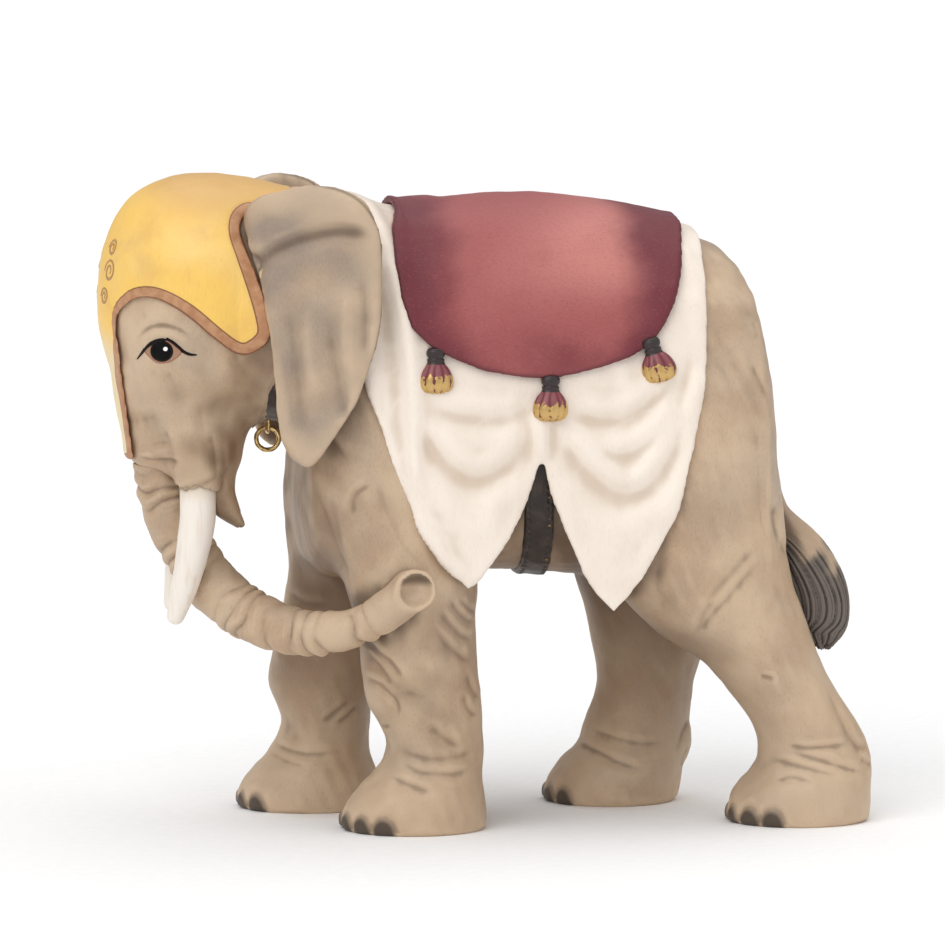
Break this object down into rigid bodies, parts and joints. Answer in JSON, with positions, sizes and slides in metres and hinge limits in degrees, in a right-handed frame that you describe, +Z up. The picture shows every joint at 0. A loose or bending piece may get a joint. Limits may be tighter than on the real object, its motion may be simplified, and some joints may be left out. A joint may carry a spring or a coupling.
{
  "type": "carved wooden elephant",
  "caption": "Carved and painted wooden elephant figure standing in mid stride, with headdress, drape, saddle cloth, tassels and a swinging lead ring.",
  "frame": {"origin": "middle of the figure's overall length and width, on the plane its soles stand on", "axes": "+Z up; the elephant walks towards -X; its left side faces -Y"},
  "size_m": [0.1884, 0.0835, 0.1595],
  "materials": {
    "painted_skin": "stained and painted wood, matt, warm grey-beige with darker creases",
    "painted_tail": "carved strands under dark brown-grey matt paint",
    "painted_tusk": "smooth ivory-white satin paint",
    "painted_headdress": "golden yellow satin paint with a raised copper-brown border",
    "painted_drape": "cream-white satin paint, beige in the carved folds",
    "painted_saddle": "dusty burgundy paint over a fine sawn grain",
    "painted_tassel": "burgundy paint with a gilt lower half and a black knot",
    "painted_strap": "black-brown satin paint",
    "brass": "polished wire",
    "dowel_wood": "plain turned beech"
  },
  "bodies": {
    "figure": {"front_block": "painted_skin", "rear_block": "painted_skin", "head": "painted_skin", "trunk": "painted_skin", "left_ear": "painted_skin", "right_ear": "painted_skin", "tail": "painted_tail", "left_tusk": "painted_tusk", "right_tusk": "painted_tusk", "headdress": "painted_headdress", "drape": "painted_drape", "saddle_cloth": "painted_saddle", "girth_strap": "painted_strap", "halter_strap": "painted_strap", "ring_staple": "brass", "tassel_left_front": "painted_tassel", "tassel_left_middle": "painted_tassel", "tassel_left_rear": "painted_tassel", "tassel_right_front": "painted_tassel", "tassel_right_middle": "painted_tassel", "tassel_right_rear": "painted_tassel", "block_dowel_upper": "dowel_wood", "block_dowel_lower": "dowel_wood", "neck_dowel": "dowel_wood", "trunk_dowel": "dowel_wood", "tail_dowel": "dowel_wood", "left_ear_dowel": "dowel_wood", "right_ear_dowel": "dowel_wood"},
    "ring": {"lead_ring": "brass"}
  },
  "joints": [
    {"name": "lead_ring_swing", "type": "hinge", "parent": "figure", "child": "ring", "pos_m": [-0.0525, 0, 0.0957], "axis": [0, 1, 0], "range_deg": [-35, 35]}
  ]
}
